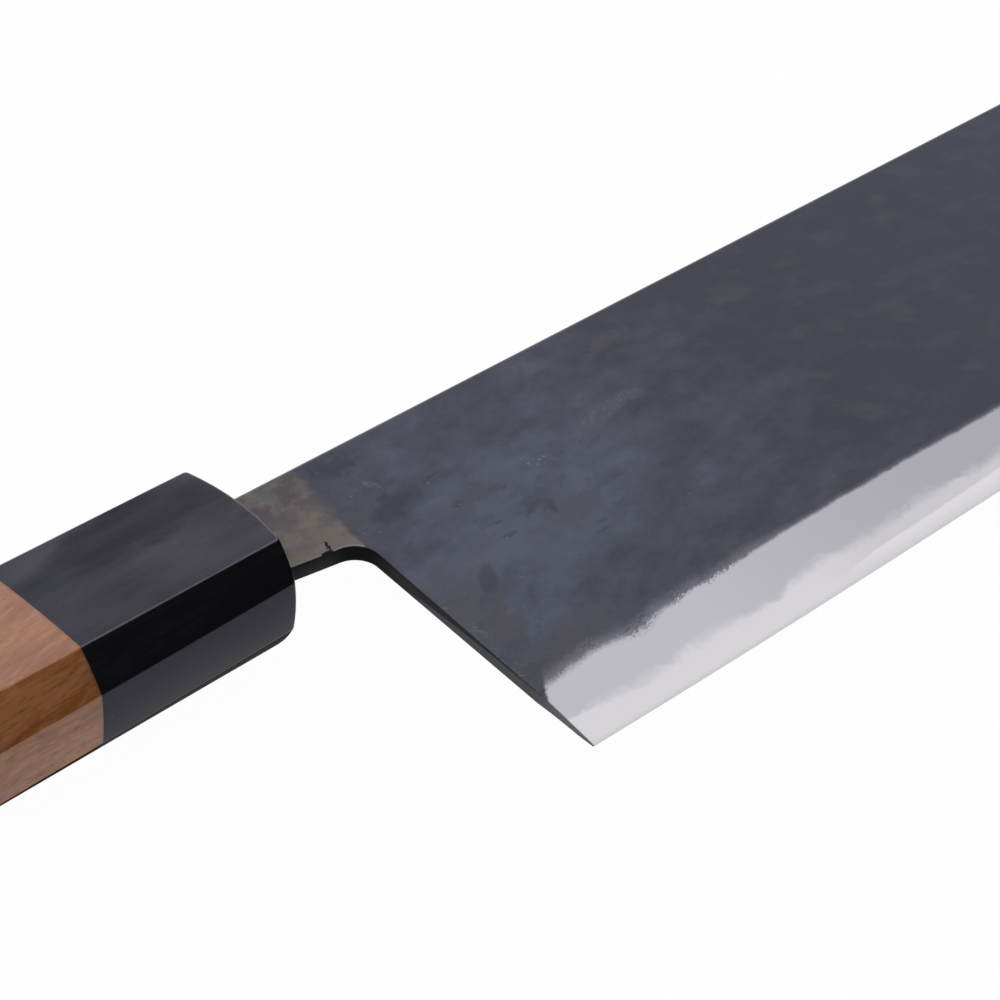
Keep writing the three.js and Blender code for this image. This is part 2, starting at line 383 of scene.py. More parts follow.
def slab(lowerRows, topAt, bottomAt, ease, mirrored):
    # One layer of the blade. In side view the plate is a grid: rows fall from the spine to the last
    # row, and each row runs from the heel line to the front; rows near the lamination follow it. The
    # neck and tang are a second grid, ruled between their upper and lower lines, and share the plate's
    # first column. Heights come from topAt and bottomAt, and a quarter round goes along the outline.
    topY = spineY - ease
    arc, neckSlope = notchArc(ease, 18)
    arcRows = (blade["frontSpineRadius"] - ease) * (1 - np.cos(np.radians(np.linspace(0, 84, 12))))
    upperRows = np.append(topY - arcRows, [arc[-1, 1] + 0.2, arc[-1, 1]])
    rowY = np.concatenate([upperRows, lowerRows])
    neckRows = len(upperRows)

    across = np.concatenate([[0, 0.001], np.linspace(0.006, 0.994, blade["columns"]), [0.999, 1]])
    sinkY = notchY - blade["sinkBelow"]
    sink = np.clip((sinkY - rowY) / (sinkY - shinogiY), 0, 1)[:, None]
    left = heelX(rowY, ease)[:, None]
    x = lerp(left, tipX, across[None, :])
    slide = np.interp(rowY, [shoulderY, laminationY, shinogiY], [0, 1, 0])[:, None]
    for _ in range(3):
        drift = edgeFloor + laminationHeight(x) - laminationY
        y = rowY[:, None] + sink * bellyLift(x) + slide * drift
        x = lerp(left, frontX(y, ease), across[None, :])
    plate = np.stack([x, y], axis=2)

    tangRound = np.radians(np.linspace(15, 90, 6))
    tangEndHalf = blade["tangEndHeight"] / 2
    tangRootHalf = blade["tangRootHeight"] / 2
    tangX = np.append(
        blade["tangEnd"] + tangEndHalf * (1 - np.cos(tangRound)),
        np.linspace(blade["tangEnd"] + tangEndHalf, blade["tangShoulder"], 9)[1:],
    )
    tangHalf = np.append(tangEndHalf * np.sin(tangRound), np.linspace(tangEndHalf, tangRootHalf, 9)[1:])
    neckX = np.linspace(blade["neckSeat"], arc[0, 0], 18)[:-1]
    neckLow = neckLowY + neckSlope * neckX + ease * math.hypot(1, neckSlope)
    arcTopX = np.linspace(arc[0, 0], heelX(topY, ease), len(arc))
    upperLine = np.stack([
        np.concatenate([tangX, neckX, arcTopX]),
        np.concatenate([tangHalf, np.full(len(neckX) + len(arc), topY)]),
    ], axis=1)
    lowerLine = np.stack([
        np.concatenate([tangX, neckX, arc[:, 0]]),
        np.concatenate([-tangHalf, neckLow, arc[:, 1]]),
    ], axis=1)
    down = ((topY - upperRows) / (topY - upperRows[-1]))[:, None, None]
    neck = lerp(upperLine[None], lowerLine[None], down)

    plateIds = np.arange(plate.shape[0] * plate.shape[1]).reshape(plate.shape[:2])
    neckIds = plateIds.size + np.arange(neckRows * (neck.shape[1] - 1)).reshape(neckRows, -1)
    neckIds = np.hstack([neckIds, plateIds[:neckRows, :1]])
    plan = np.vstack([plate.reshape(-1, 2), neck[:, :-1].reshape(-1, 2)])
    top = topAt(plan[:, 0], plan[:, 1])
    bottom = bottomAt(plan[:, 0], plan[:, 1])

    loop = np.concatenate([
        neckIds[0, :-1], plateIds[0], plateIds[1:, -1], plateIds[-1, -2::-1],
        plateIds[-2:neckRows - 1:-1, 0], neckIds[-1, ::-1], neckIds[-2:0:-1, 0],
    ])[::-1]
    onLastRow = np.isin(loop, plateIds[-1])
    tangent = np.roll(plan[loop], -1, axis=0) - np.roll(plan[loop], 1, axis=0)
    outward = np.stack([tangent[:, 1], -tangent[:, 0]], axis=1)
    outward /= np.linalg.norm(outward, axis=1)[:, None]
    reach = np.where(onLastRow, 0.0, ease)
    drop = np.minimum(blade["cornerEase"], blade["cornerShare"] * (top - bottom)[loop])
    rings = [
        np.column_stack([
            plan[loop] + outward * (reach * math.sin(angle))[:, None],
            top[loop] - drop * (1 - math.cos(angle)),
        ]) for angle in np.radians([18, 36, 54, 72, 90])
    ]
    rings.append(np.column_stack([rings[-1][:, :2], bottom[loop]]))

    topPoints = np.column_stack([plan, top])
    bottomPoints = np.column_stack([plan, bottom])
    points = np.vstack([topPoints, *rings, bottomPoints])
    bottomStart = len(topPoints) + len(rings) * len(loop)

    sheet = np.vstack([
        np.stack([ids[:-1, :-1], ids[1:, :-1], ids[1:, 1:], ids[:-1, 1:]], axis=2).reshape(-1, 4)
        for ids in (plateIds, neckIds)
    ])
    ringIds = [len(topPoints) + i * len(loop) + np.arange(len(loop)) for i in range(len(rings))]
    bands = [loop, *ringIds, bottomStart + loop]
    walls = [
        np.stack([a, b, np.roll(b, -1), np.roll(a, -1)], axis=1) for a, b in zip(bands, bands[1:])
    ]
    faces = np.vstack([sheet, *walls, (sheet + bottomStart)[:, ::-1]])
    if mirrored:
        points = points * np.array([1, 1, -1])
        faces = faces[:, ::-1]
    return points, faces.tolist()


scaleLook = dict(
    deep=(0.009, 0.012, 0.026, 1),
    pale=(0.079, 0.087, 0.123, 1),
    warm=(0.058, 0.050, 0.054, 1),
    teal=(0.036, 0.048, 0.064, 1),
    speck=(0.32, 0.33, 0.35, 1),
    smear=(0.118, 0.108, 0.102, 1),
    roughness=0.42,
    gloss=0.44,
    paleField=((25.0, -18.0), 20, 28.0, 14.0),  # place, angle, half length and half width
    darkPatches=[
        ((18.0, -5.6), 20, 4.5, 2.6),
        ((13.2, -29.5), 75, 4.5, 2.4),
        ((31.4, -15.1), 15, 4.0, 1.6),
        ((39.3, -16.9), 12, 4.5, 1.6),
        ((17.1, 3.9), 10, 4.0, 1.8),
        ((29.9, -16.1), 12, 2.4, 1.2),
    ],
    warmSpots=[
        ((32.8, -18.3), -5, 4.5, 2.8),
        ((43.9, 4.8), 5, 2.6, 1.4),
        ((58.9, 1.5), 5, 3.6, 1.5),
        ((12.0, -26.0), 84, 12.0, 4.2),
        ((15.0, -35.5), 10, 11.0, 3.4),
    ],
    darkStrokes=[
        ((24.7, -4.1), 9, 1.9, 0.30),
        ((23.6, -9.8), 14, 1.0, 0.55),
        ((29.7, -10.8), 37, 0.75, 0.25),
        ((24.4, -17.5), 7, 1.1, 0.40),
        ((24.7, -15.0), -3, 0.9, 0.25),
        ((33.2, -23.5), 9, 1.3, 0.30),
        ((34.3, -22.3), 20, 0.9, 0.25),
    ],
    blot=((17.1, -21.5), 51, 3.1, 1.3),
    scuff=((18.2, -0.9), -61, 1.5, 0.6),
    smearStroke=((50.0, -7.8), 9, 6.4, 1.5),
    speckField=((36.4, -9.6), -35, 2.6, 1.3),
)
temperLook = dict(
    brown=(0.188, 0.144, 0.105, 1),
    grey=(0.116, 0.107, 0.097, 1),
    pink=(0.069, 0.053, 0.055, 1),
    pale=(0.21, 0.195, 0.17, 1),
    # the pale metal of the rounded rims: painted highlight, partly real wear
    wearAndHighlight=(0.34, 0.31, 0.29, 1),
    nick=(0.002, 0.002, 0.002, 1),
    crack=((7.1, -6.3), 75, 1.4, 0.26),
    chip=((6.4, -6.95), -9, 1.0, 0.36),
    borderX=11.6,  # the tint ends in a slanting line through here
    borderLean=0.165,
)
steelLook = dict(
    # heelIron is lighter than iron: the iron darkens from heel to tip as a painted reflection falloff
    iron=(0.425, 0.416, 0.411, 1),
    heelIron=(0.536, 0.524, 0.515, 1),
    haze=(0.622, 0.602, 0.580, 1),
    heelHaze=(0.708, 0.683, 0.652, 1),
    hard=(0.690, 0.666, 0.632, 1),
    hardTop=(0.760, 0.733, 0.694, 1),
    keen=(0.80, 0.778, 0.75, 1),
    edgeGrey=(0.34, 0.332, 0.324, 1),
    roughness=0.30,
    hazeHeight=3.5,  # the border's mean height above the edge
    coreHeight=1.4,  # the bright band's at the heel
    keenHeight=0.41,  # the sharpened strip's
    edgeGreyShare=0.28,
)
wallLook = dict(
    black=(0.007, 0.007, 0.008, 1),
    grey=(0.092, 0.093, 0.096, 1),
    heelTip=(0.16, 0.16, 0.162, 1),
    roughness=0.6,
    gloss=0.05,
)


def scaleColour(nodes, point, x, y, grain):
    # mottled forge scale: clouds and patches, dark dents along the length, stains, a smear and specks
    look = scaleLook
    calm = 1 - x.smooth(35, 95) * 0.3
    blots = nodes.cloud(point, (17, 9, 30), 4.0, 0.55, 12)
    patches = nodes.cloud(point, (5.5, 3.4, 20), 5.0, 0.66, 10)
    ragged = (nodes.cloud(point, (1.6, 1.2, 3), 4.0, 0.6) - 0.5) * 2.0
    fray = (nodes.cloud(point, (0.7, 0.5, 3), 4.0, 0.7, 40) - 0.5) * 2.2
    driftX = x + (nodes.cloud(point, (4.5, 3.0, 20), 4.0, 0.65, 25) - 0.5) * 9.0
    driftY = y + (nodes.cloud(point, (3.0, 4.5, 20), 4.0, 0.65, -20) - 0.5) * 7.0
    # painted shade: the flats darken towards the tip, standing in for reflected light that falls off
    # along the blade; a paler field lies near the heel
    field = stroke(x, y, *look["paleField"]) * 0.165 - x.smooth(36, 90) * 0.16 - x.smooth(56, 78) * 0.07
    field = field + (1 - (y + 36).size().smooth(0, 9)) * x.smooth(66, 82) * 0.06
    tone = ((blots - 0.5) * 0.62 + (patches - 0.5) * 0.6) * calm + (grain - 0.5) * 0.16 + field
    for spot in look["darkPatches"]:
        tone = tone - stroke(driftX, driftY, *spot) * 0.14
    scale = nodes.mix((tone + 0.5).smooth(0.25, 0.85), look["deep"], look["pale"])
    hue = nodes.cloud(point, (9, 6, 20), 4.0, 0.55, -15)
    warmth = hue.smooth(0.56, 0.72) * calm
    for spot in look["warmSpots"]:
        warmth = warmth.most(stroke(driftX, driftY, *spot) * patches.smooth(0.30, 0.55))
    scale = nodes.mix(warmth * 0.65, scale, look["warm"])
    scale = nodes.mix((1 - hue.smooth(0.32, 0.46)) * 0.4, scale, look["teal"])

    dents = nodes.cloud(point, (1.9, 0.6, 3), 4.0, 0.68, 20).smooth(0.62, 0.70)
    dents = dents * nodes.cloud(point, (11, 7, 30), 3.0).smooth(0.46, 0.58) * calm
    for mark in look["darkStrokes"]:
        dents = dents.most(stroke(x + fray, y + ragged * 0.3 - fray * 0.5, *mark) * 0.8)
    stains = nodes.cloud(point, (4.2, 2.4, 9), 4.0, 0.6, 35).smooth(0.58, 0.66) * 0.5 * calm
    blot = stroke(x + ragged * 0.6 + fray * 0.4, y + ragged * 0.6, *look["blot"])
    scale = nodes.mix((dents * 1.1).most(stains).most(blot) * 0.62, scale, look["deep"])

    flecks = nodes.cloud(point, (0.9, 0.55, 3), 5.0, 0.75, 33)
    smear = stroke(driftX, y + ragged * 0.8 + fray * 0.4, *look["smearStroke"])
    smear = smear * (0.3 + flecks.smooth(0.46, 0.66) * 0.7)
    scale = nodes.mix(smear * 0.6, scale, look["smear"])
    spread = nodes.cloud(point, (9, 9, 9), 3.0).smooth(0.47, 0.62) * (1 - x.smooth(40, 80) * 0.7)
    dots = nodes.specks(point, (1.7, 1.1, 4), 0.11, 0.2) * spread * 0.5
    cluster = nodes.specks(point, (0.8, 0.6, 4), 0.36, 0.6) * stroke(x + ragged, y, *look["speckField"])
    scuff = stroke(x + ragged * 0.5, y, *look["scuff"]) * flecks.smooth(0.40, 0.62)
    marks = dots.most(cluster * 0.4).most(scuff * 0.22).most(smear * flecks.smooth(0.60, 0.68) * 0.2)
    return nodes.mix(marks, scale, look["speck"]), dents


def temperColour(nodes, point, x, y):
    # the neck's heat tint: grey, brown and pinkish clouds, and a small black nick in its lower edge
    look = temperLook
    heat = nodes.cloud(point, (3.0, 2.4, 6), 5.0, 0.55)
    blush = nodes.cloud(point, (3.6, 2.8, 8), 4.0, 0.6, 30)
    tint = nodes.mix(heat.smooth(0.39, 0.60), look["grey"], look["brown"])
    high = (y + 5).smooth(0, 9)
    tint = nodes.mix(blush.smooth(0.42, 0.59) * (0.2 + high * 0.8), tint, look["pink"])
    scuffs = nodes.cloud(point, (1.5, 0.8, 4), 4.0, 0.6, -20).smooth(0.56, 0.70)
    tint = nodes.mix(scuffs * 0.45, tint, look["pale"])
    jagged = (nodes.cloud(point, (0.5, 0.3, 0.4), 4.0, 0.7) - 0.5) * 1.5
    nick = stroke(x + jagged, y, *look["crack"]).most(stroke(x, y + jagged * 0.7, *look["chip"]))
    return tint, nick


polishLine = dict(
    aboveBevel=1.15,  # the line's height above the shinogi
    heelDrop=0.7,
    tipDrop=0.5,
    crest=(48, 18, 0.6),  # where the line swells up, over what reach and how far
    dip=(24, 6, 0.75),  # and where it dips
    slowRipple=1.3,
    quickRipple=0.75,
    heelSpan=(28, 52),  # from here on the line is clean
    spurX=10.2,  # at the heel the scale ends in a slanting line through here
    spurY=-37.3,
    spurLean=0.75,
)


def groundMask(nodes, point, x, y, height):
    # 1 where the scale is ground away: below a wavy line, under a faint strip where the scale is worn
    # thin; both are wide near the heel, speckled in places and edged with bright dashes
    look = polishLine
    ripple = (nodes.cloud(point, (22, 80, 80), 2.0) - 0.5) * look["slowRipple"]
    ripple = ripple + (nodes.cloud(point, (3.2, 40, 40), 3.0) - 0.5) * look["quickRipple"]
    line = blade["bevelHeight"] + look["aboveBevel"]
    line = line - (1 - x.smooth(9, 18)) * look["heelDrop"] - x.smooth(60, 95) * look["tipDrop"]
    for (middle, halfSpan, amount), way in ((look["crest"], 1), (look["dip"], -1)):
        line = line + (1 - ((x - middle) / halfSpan).size().smooth(0.0, 1.0)) * (amount * way)
    nearHeel = 1 - x.smooth(*look["heelSpan"])
    scratch = nodes.cloud(point, (0.45, 0.2, 2), 4.0, 0.75, 27) - 0.5
    speckled = nodes.cloud(point, (5, 5, 20), 2.0).smooth(0.44, 0.58)
    below = line + ripple - height + scratch * (0.3 + nearHeel * 1.5 + speckled * (0.4 + nearHeel * 2.6))
    reach = (1 - x.smooth(24, 37)) + 0.75
    bare = below.smooth(reach * -0.4, reach * 0.6)
    thinned = below.smooth((1 - x.smooth(42, 52)) * -1.1 - 0.8, 0.3) * 0.27
    fromSpur = x - look["spurX"] - (y - look["spurY"]) * look["spurLean"]
    spur = (fromSpur + scratch * 1.6).smooth(-0.3, 0.3)
    dashes = nodes.cloud(point, (0.8, 0.14, 2), 3.0, 0.6, 38).smooth(0.62, 0.70) * nearHeel
    dashes = dashes * below.smooth(-1.9, -0.3) * 0.45
    return bare.most(thinned).most(dashes) * spur


def steelColour(nodes, point, x, height):
    # soft iron above, a cloudy border in slow waves, then the hard core in a bright band along the edge
    look = steelLook
    puffs = (nodes.cloud(point, (3.0, 2.3, 30), 5.0, 0.62) - 0.5) * 3.0
    late = x.smooth(44, 58)
    waves = x.wave(19, 43) * 0.35 + x.smooth(30, 55) * 0.6 + 0.35
    soft = nodes.cloud(point, (12, 30, 30), 2.0).smooth(0.38, 0.62) * 1.1 + 0.4
    haze = (waves + puffs + look["hazeHeight"] - height).smooth(soft * -1.0, soft * 0.7)
    coreBand = late * 0.9 + x.smooth(60, 85) * 0.4 + look["coreHeight"]
    hard = (coreBand + puffs * 0.15 - height).smooth(-0.2, 0.2) * (0.35 + late * 0.65)
    # painted reflection: the iron is lighter at the heel and darker towards the tip
    steel = nodes.mix(x.smooth(25, 75), look["heelIron"], look["iron"])
    steel = nodes.mix(haze, steel, nodes.mix(late, look["heelHaze"], look["haze"]))
    steel = nodes.mix(hard, steel, nodes.mix(height.smooth(0.3, 2.3), look["hard"], look["hardTop"]))
    keen = 1 - height.smooth(look["keenHeight"] - 0.05, look["keenHeight"] + 0.05)
    steel = nodes.mix(keen, steel, look["keen"])
    # a darker grey line along the very edge
    edgeGrey = (1 - height.smooth(0.04, 0.12)) * look["edgeGreyShare"]
    return nodes.mix(edgeGrey, steel, look["edgeGrey"]), keen


def bladeFinish(name):
    # dark forge scale on the flats, a heat-tinted neck, bright ground steel along the edge
    material, nodes = newFinish(name)
    point = nodes.place()
    x, y, z = nodes.axes(point)
    outward = nodes.normal()
    upright = outward[2].size()
    toTip = ((x - bellyStart) / blade["bellyLength"]).most(0.0)
    away = ((x - blade["edgeBowAt"]) / blade["edgeBowReach"]).size().least(1.0)
    bow = 1 - away * away
    lift = toTip * toTip * blade["bellyRise"] - bow * bow * blade["edgeBow"]
    height = y - edgeFloor - lift  # above the cutting edge
    fromHeel = x - blade["heelForward"] - (y - edgeFloor) * heelLean
    grain = nodes.cloud(point, (0.7, 0.4, 2), 4.0, 0.65, 15)
    streak = nodes.cloud(point, (30, 0.5, 8), 3.0, 0.6)

    ground = groundMask(nodes, point, x, y, height) * fromHeel.smooth(0.05, 0.3)
    steel, keen = steelColour(nodes, point, x, height)
    scale, dents = scaleColour(nodes, point, x, y, grain)
    tint, nick = temperColour(nodes, point, x, y)
    soft = (y + 8).most(0.0) * 0.09
    border = x - temperLook["borderX"] - y * temperLook["borderLean"]
    border = border + (nodes.cloud(point, (1.6, 1.6, 6), 5.0, 0.65) - 0.5) * 2.0
    onNeck = 1 - border.smooth(soft * -1.0 - 0.2, soft + 0.2)
    scale = nodes.mix(onNeck, scale, tint)

    # painted highlight on the neck's and the spine's rounded edges, partly bare metal rubbed through, a
    # painted highlight strip along the spine's top, and short scratches along the heel
    rim = upright.smooth(0.64, 0.78) * (1 - upright.smooth(0.955, 0.99))
    onSpine = outward[1].smooth(0.2, 0.4)
    nearHeel = 1 - (fromHeel - 0.7).size().smooth(0.3, 1.3)
    nearHeel = nearHeel * (y + 38).smooth(0, 4) * (1 - (y + 22).smooth(0, 3))
    rubs = nodes.cloud(point, (0.9, 0.2, 3), 4.0, 0.65, -50).smooth(0.56, 0.66)
    rubs = rubs * nearHeel * nodes.cloud(point, (2.6, 2.6, 6), 2.0).smooth(0.42, 0.56)
    # painted highlight with some wear: the rounded rims of the neck and the spine are lightened
    wearAndHighlight = rim * (0.05 + onSpine * 0.6 + onNeck * 0.75).least(0.9)
    # painted highlight, partly wear: a thin strip of the flat along the spine is lightened
    spineWearAndHighlight = (y - spineY + 0.55).smooth(0, 0.3) * 0.3
    scale = nodes.mix(wearAndHighlight.most(rubs * 0.55).most(spineWearAndHighlight), scale, temperLook["wearAndHighlight"])
    scale = nodes.mix(nick, scale, temperLook["nick"])

    bump = nodes.add("ShaderNodeBump", {}, {
        "Strength": 0.2,
        "Distance": 0.00006,
        "Height": (grain * 0.5 - dents * 0.6 - nick * 2.0) * (1 - ground) + streak * ground * 0.2,
    })
    scaled = scaleLook["roughness"] + (grain - 0.5) * 0.2
    polished = steelLook["roughness"] + (streak - 0.5) * 0.1
    face = nodes.add("ShaderNodeBsdfPrincipled", {}, {
        "Base Color": nodes.mix(ground, scale, steel),
        "Metallic": ground * (1 - keen * 0.6),  # the fine scratches of the stone scatter light
        "Roughness": scaled * (1 - ground) + polished * ground,
        "Specular IOR Level": scaleLook["gloss"],
        "Normal": bump,
    })

    # the cut walls are black in the notch, greyer under the neck and down the heel, and dark at the top
    downHeel = (-12 - y).smooth(0, 24)
    # the wall stays dark over its top, on a strip that narrows down the heel
    upperDark = (z - downHeel + 0.35 + (grain - 0.5) * 0.3).smooth(-0.12, 0.12)
    heelGrey = ((1 - upperDark) * downHeel.smooth(0.02, 0.25)).most((-11.5 - y).smooth(0, 3) * 0.2)
    neckGrey = (1 - x.smooth(5.5, 9)) * (1 - z.smooth(-0.6, 1.2) * 0.75) * 0.6
    wallTone = nodes.mix(heelGrey.most(neckGrey), wallLook["black"], wallLook["grey"])
    wallTone = nodes.mix((-36 - y).smooth(0, 8) * heelGrey, wallTone, wallLook["heelTip"])
    wall = nodes.add("ShaderNodeBsdfPrincipled", {}, {
        "Base Color": wallTone,
        "Roughness": wallLook["roughness"],
        "Specular IOR Level": wallLook["gloss"],
    })
    onWall = (1 - upright.smooth(0.35, 0.75)) * (1 - outward[1].smooth(0.05, 0.3))
    nodes.surface(nodes.add("ShaderNodeMixShader", {}, {"Fac": onWall.most(nick), 1: face, 2: wall}))
    return material


# Horn ferrule and walnut grip

handleLength = handle["ferruleLength"] + handle["gripLength"]


def octagonLoop(x, inset=0.0):
    # The handle's octagon at each x: eight corners, each eased by a short parabola, and eight slightly
    # swollen flats, each a shallow parabola. The sides widen and thicken towards the butt, where the
    # flats are plane.
    along = np.clip(-x / handleLength, 0, 1)
    swell = 1 - (1 - along) ** handle["heightTaperPower"]
    y = lerp(handle["frontHeight"], handle["buttHeight"], swell) / 2 - inset
    thick = along ** handle["thicknessTaperPower"]
    z = lerp(handle["frontThickness"], handle["buttThickness"], thick) / 2 - inset
    rise = lerp(handle["frontBevelRise"], handle["buttBevelRise"], swell)
    depth = handle["bevelDepth"]
    shrink = inset * (rise + depth - np.hypot(rise, depth))
    faceY = y - (rise - shrink / depth)
    sideZ = z - (depth - shrink / rise)
    farY = faceY + handle["spineSideSpread"] * np.clip(1 + x / handle["ferruleLength"], 0, 1)
    cornerY = np.stack([y, y, farY, -faceY, -y, -y, -faceY, farY], axis=1)
    cornerZ = np.stack([-sideZ, sideZ, z, z, sideZ, -sideZ, -z, -z], axis=1)
    corner = np.stack([cornerY, cornerZ], axis=2)
    back = np.roll(corner, 1, axis=1) - corner
    ahead = np.roll(corner, -1, axis=1) - corner
    toRim = np.clip(1 + (x - handle["rimX"]) / handle["rimCreaseLength"], 0, 1) ** 2
    ease = lerp(handle["creaseEase"], handle["rimCreaseEase"], toRim)[:, None, None]
    start = corner + back / np.linalg.norm(back, axis=2, keepdims=True) * ease
    end = corner + ahead / np.linalg.norm(ahead, axis=2, keepdims=True) * ease
    t = np.linspace(0, 1, 6)[None, None, :, None]
    eased = (1 - t) ** 2 * start[:, :, None] + 2 * t * (1 - t) * corner[:, :, None]
    eased = eased + t ** 2 * end[:, :, None]

    t = np.array([0.02, 0.12, 0.25, 0.4, 0.6, 0.75, 0.88, 0.98])[None, None, :, None]
    flat = lerp(end[:, :, None], np.roll(start, -1, axis=1)[:, :, None], t)
    outward = np.stack([ahead[:, :, 1], -ahead[:, :, 0]], axis=2)
    outward = outward / np.linalg.norm(outward, axis=2, keepdims=True)
    quarter = [handle["sideCrown"], handle["bevelCrown"], handle["faceCrown"], handle["bevelCrown"]]
    crownHeight = np.array(quarter * 2)[None] * (1 - along ** 2)[:, None]
    flat = flat + 4 * t * (1 - t) * (outward * crownHeight[:, :, None])[:, :, None]
    return np.concatenate([eased, flat], axis=2).reshape(len(x), -1, 2)


loopSize = octagonLoop(np.zeros(1)).shape[1]


def octagonAt(x, inset=0.0):
    # one ring whose x changes from point to point
    pick = np.arange(loopSize)
    return np.column_stack([x, octagonLoop(x, inset)[pick, pick]])


def ringAt(x, inset=0.0):
    return octagonAt(np.full(loopSize, float(x)), inset)


def circleRing(x, radius, turn):
    return np.column_stack([np.full(loopSize, float(x)), radius * np.cos(turn), radius * np.sin(turn)])


def tubeFaces(ringCount, wrap):
    # rings side by side, each joined to the next; with wrap the last meets the first
    rows = np.arange(ringCount if wrap else ringCount - 1)[:, None] * loopSize
    spot = np.arange(loopSize)[None]
    here = rows + spot
    beside = rows + (spot + 1) % loopSize
    total = ringCount * loopSize
    nextHere, nextBeside = (here + loopSize) % total, (beside + loopSize) % total
    return np.stack([here, beside, nextBeside, nextHere], axis=2).reshape(-1, 4)


ferrule = dict(
    domeRadius=42.0,
    crownBelowAxis=0.3,
    rimEase=0.45,  # how far the front rim is rounded
    mouthTop=7.85,
    mouthBottom=-6.8,
    mouthHalf=2.1,
    mouthEnd=-8.15,
)


def domeX(yz):
    # the front is a ball's cap, its crown a little below the handle's axis
    away = (yz[:, 0] + ferrule["crownBelowAxis"]) ** 2 + yz[:, 1] ** 2
    return np.sqrt(ferrule["domeRadius"] ** 2 - away) - ferrule["domeRadius"]


def makeFerrule(material):
    # Rings go from the back along the outside, over the rounded rim and the dome into the mouth, back
    # along the bore, and meet the first ring at the back.
    backX = -handle["ferruleLength"]
    rimX = np.zeros(loopSize)
    for _ in range(4):
        rimX = domeX(octagonAt(rimX)[:, 1:])
    rim = octagonAt(rimX)
    turn = np.arctan2(rim[:, 2], rim[:, 1])
    side = octagonAt(rimX - ferrule["rimEase"])
    inward = rim[:, 1:] * (1 - ferrule["rimEase"] / np.linalg.norm(rim[:, 1:], axis=1))[:, None]
    onDome = np.column_stack([domeX(inward), inward])
    c, s = np.cos(turn), np.sin(turn)
    upDown = np.where(c > 0, ferrule["mouthTop"], -ferrule["mouthBottom"])
    tiny = 1e-6
    mouthReach = np.minimum(
        upDown / np.maximum(np.abs(c), tiny),
        ferrule["mouthHalf"] / np.maximum(np.abs(s), tiny),
    )
    mouth = np.column_stack([c, s]) * mouthReach[:, None]

    rings = [octagonAt(lerp(backX, rimX - ferrule["rimEase"], t)) for t in np.linspace(0, 0.98, 9)]
    rings += [(1 - t) ** 2 * side + 2 * t * (1 - t) * rim + t ** 2 * onDome for t in np.linspace(0, 1, 7)]
    for t in (0.03, 0.2, 0.4, 0.6, 0.8, 1.0):
        spread = lerp(inward, mouth, t)
        rings.append(np.column_stack([domeX(spread), spread]))
    rings.append(np.column_stack([np.full(loopSize, ferrule["mouthEnd"]), mouth]))
    rings.append(circleRing(ferrule["mouthEnd"], handle["boreRadius"], turn))
    rings.append(circleRing(backX, handle["boreRadius"], turn))
    faces = tubeFaces(len(rings), True).tolist()
    addPiece("hornFerrule", np.vstack(rings), faces, "ferrule", material)


grip = dict(buttEase=1.6, steps=48)


def makeGrip(material):
    # Rings go from the butt's flat end over its rounded rim, along the sides to the ferrule, and back
    # down the bore to its blind end.
    frontX = -handle["ferruleLength"]
    buttX = -handleLength
    ease = grip["buttEase"]
    flatEnd = ringAt(buttX, ease)
    corner = ringAt(buttX)
    side = ringAt(buttX + ease)
    rings = [
        (1 - t) ** 2 * flatEnd + 2 * t * (1 - t) * corner + t ** 2 * side
        for t in np.linspace(0, 1, 7)
    ]
    rings += [ringAt(x) for x in np.linspace(buttX + ease, frontX, grip["steps"])[1:]]
    turn = np.arctan2(rings[-1][:, 2], rings[-1][:, 1])
    rings.append(circleRing(frontX, handle["boreRadius"], turn))
    rings.append(circleRing(handle["boreEnd"], handle["boreRadius"], turn))
    faces = tubeFaces(len(rings), False).tolist()
    faces.append(list(range(loopSize))[::-1])
    faces.append(list(range((len(rings) - 1) * loopSize, len(rings) * loopSize)))
    addPiece("walnutGrip", np.vstack(rings), faces, "handle_body", material)


